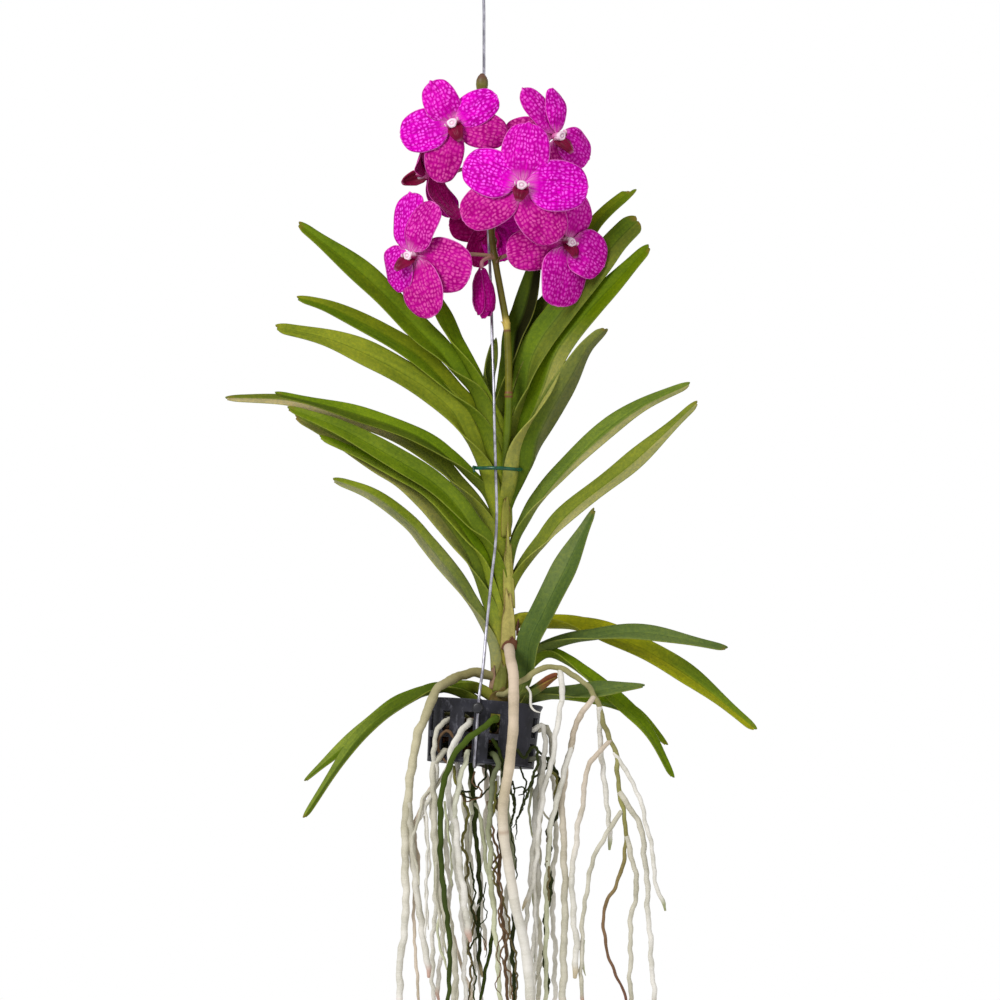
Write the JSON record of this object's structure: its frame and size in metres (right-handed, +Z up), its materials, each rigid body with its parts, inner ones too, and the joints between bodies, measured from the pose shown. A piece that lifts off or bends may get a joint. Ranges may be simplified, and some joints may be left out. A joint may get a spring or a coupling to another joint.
{
  "type": "hanging vanda orchid in slotted basket",
  "caption": "Magenta netted vanda orchid with strap leaves and long hanging aerial roots, in a small slotted basket on a rigid wire hanger.",
  "frame": {"origin": "inner top of the wire hanger's hook, where the plant hangs from a rail or branch", "axes": "+Z up along the wire, -Y toward the viewer of the open flowers, +X to that viewer's right"},
  "size_m": [0.3929, 0.0985, 0.8559],
  "materials": {
    "steel": "galvanised satin",
    "clip": "satin",
    "basket": "matte, rubbed",
    "tie": "coated wire",
    "stem": "satin, with dry brown sheath edges",
    "spike": "satin",
    "leaf": "satin",
    "petal": "velvety, with a pale net",
    "petal_dark": "velvety",
    "lip": "satin, with a white column",
    "root_beige": "matte",
    "root_grey": "matte",
    "root_white": "matte",
    "root_green": "matte"
  },
  "bodies": {
    "root": {"wire_hanger": "steel", "wire_clip": "clip", "basket": "basket", "plant_tie": "tie", "stem": "stem", "flower_spike": "spike", "leaf_left_01": "leaf", "leaf_left_02": "leaf", "leaf_left_03": "leaf", "leaf_left_04": "leaf", "leaf_left_05": "leaf", "leaf_left_06": "leaf", "leaf_left_07": "leaf", "leaf_left_08": "leaf", "leaf_left_09": "leaf", "leaf_left_10": "leaf", "leaf_left_11": "leaf", "leaf_back": "leaf", "leaf_right_01": "leaf", "leaf_right_02": "leaf", "leaf_right_03": "leaf", "leaf_right_04": "leaf", "leaf_right_05": "leaf", "leaf_right_06": "leaf", "leaf_right_07": "leaf", "leaf_right_08": "leaf", "leaf_right_09": "leaf", "leaf_right_10": "leaf", "leaf_right_11": "leaf", "leaf_right_12": "leaf", "leaf_right_13": "leaf", "leaf_right_14": "leaf", "leaf_stub": "leaf", "bloom_1": "petal", "bloom_1_lip": "lip", "bloom_2": "petal", "bloom_2_lip": "lip", "bloom_3": "petal", "bloom_3_lip": "lip", "bloom_4": "petal", "bloom_4_lip": "lip", "bloom_5": "petal", "bloom_5_lip": "lip", "bloom_6": "petal", "bloom_6_lip": "lip", "bloom_7": "petal", "bloom_7_lip": "lip", "bloom_closed": "petal_dark", "root_front": "root_beige", "root_arch_left": "root_grey", "root_arch_right": "root_grey", "root_bunch": "root_white", "root_green": "root_green"}
  },
  "joints": []
}
